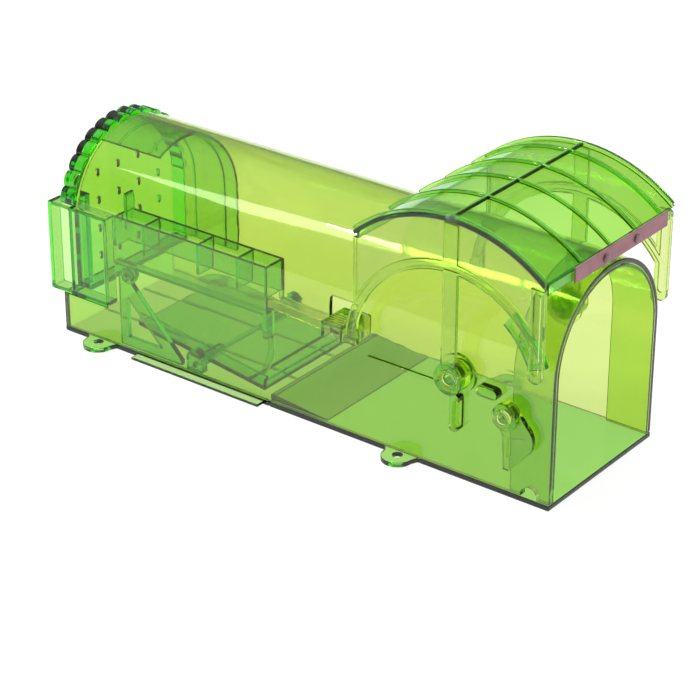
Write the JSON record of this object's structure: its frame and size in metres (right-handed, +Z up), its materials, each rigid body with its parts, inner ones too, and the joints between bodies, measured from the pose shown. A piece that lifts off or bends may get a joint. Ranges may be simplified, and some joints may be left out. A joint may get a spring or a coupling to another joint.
{
  "type": "live catch trap",
  "caption": "Clear green arched tunnel that catches a mouse alive: raised swing-down door, treadle and trip lever inside, slotted pull-off rear cap.",
  "frame": {"origin": "on the surface it stands on, under the centre of its box", "axes": "+X out of the mouth, +Y to the side away from the trip lever, +Z up"},
  "size_m": [0.2462, 0.088, 0.1091],
  "materials": {
    "clear_green_plastic": "moulded clear, polished",
    "frosted_green_plastic": "moulded with a fine frosted texture",
    "coated_steel": "thin mauve coat, satin",
    "rivet_steel": "tumbled"
  },
  "bodies": {
    "housing": {"tunnel_shell": "clear_green_plastic", "mouth_collar": "frosted_green_plastic", "front_floor": "clear_green_plastic", "floor_ramp": "clear_green_plastic", "rear_tray": "clear_green_plastic", "side_hatch": "clear_green_plastic", "door_pin_near": "clear_green_plastic", "door_pin_far": "clear_green_plastic", "lock_pawl_pin": "clear_green_plastic", "lever_bracket": "clear_green_plastic", "lever_pin": "clear_green_plastic", "treadle_axle": "clear_green_plastic", "treadle_bearing_near": "clear_green_plastic", "treadle_bearing_far": "clear_green_plastic"},
    "door": {"visor_roof": "clear_green_plastic", "visor_cheek_near": "clear_green_plastic", "visor_cheek_far": "clear_green_plastic", "lock_striker": "clear_green_plastic", "door_weight_strip": "coated_steel", "strip_rivet_near": "rivet_steel", "strip_rivet_far": "rivet_steel"},
    "pawl": {"lock_pawl": "clear_green_plastic"},
    "lever": {"trip_lever": "clear_green_plastic", "lever_rail_near": "clear_green_plastic", "lever_rail_far": "clear_green_plastic", "catch_head": "clear_green_plastic"},
    "treadle": {"treadle": "clear_green_plastic", "treadle_finger": "clear_green_plastic"},
    "cap": {"rear_cap": "clear_green_plastic"}
  },
  "joints": [
    {"name": "door_swing", "type": "hinge", "parent": "housing", "child": "door", "pos_m": [0.0811, 0, 0.0441], "axis": [0, 1, 0], "range_deg": [0, 91]},
    {"name": "pawl_swing", "type": "hinge", "parent": "housing", "child": "pawl", "pos_m": [0.1042, -0.038, 0.035], "axis": [0, 1, 0], "range_deg": [-12, 20]},
    {"name": "treadle_tilt", "type": "hinge", "parent": "housing", "child": "treadle", "pos_m": [-0.0483, 0, 0.0044], "axis": [0, -1, 0], "range_deg": [0, 5.5]},
    {"name": "lever_tilt", "type": "hinge", "parent": "housing", "child": "lever", "pos_m": [-0.0843, -0.028, 0.0324], "axis": [0, -1, 0], "range_deg": [0, 3]},
    {"name": "cap_pull", "type": "slide", "parent": "housing", "child": "cap", "axis": [-1, 0, 0], "range_m": [0, 0.06]}
  ],
  "couplings": [
    {"joint": "lever_tilt", "follows": "treadle_tilt", "ratio": 0.498}
  ]
}
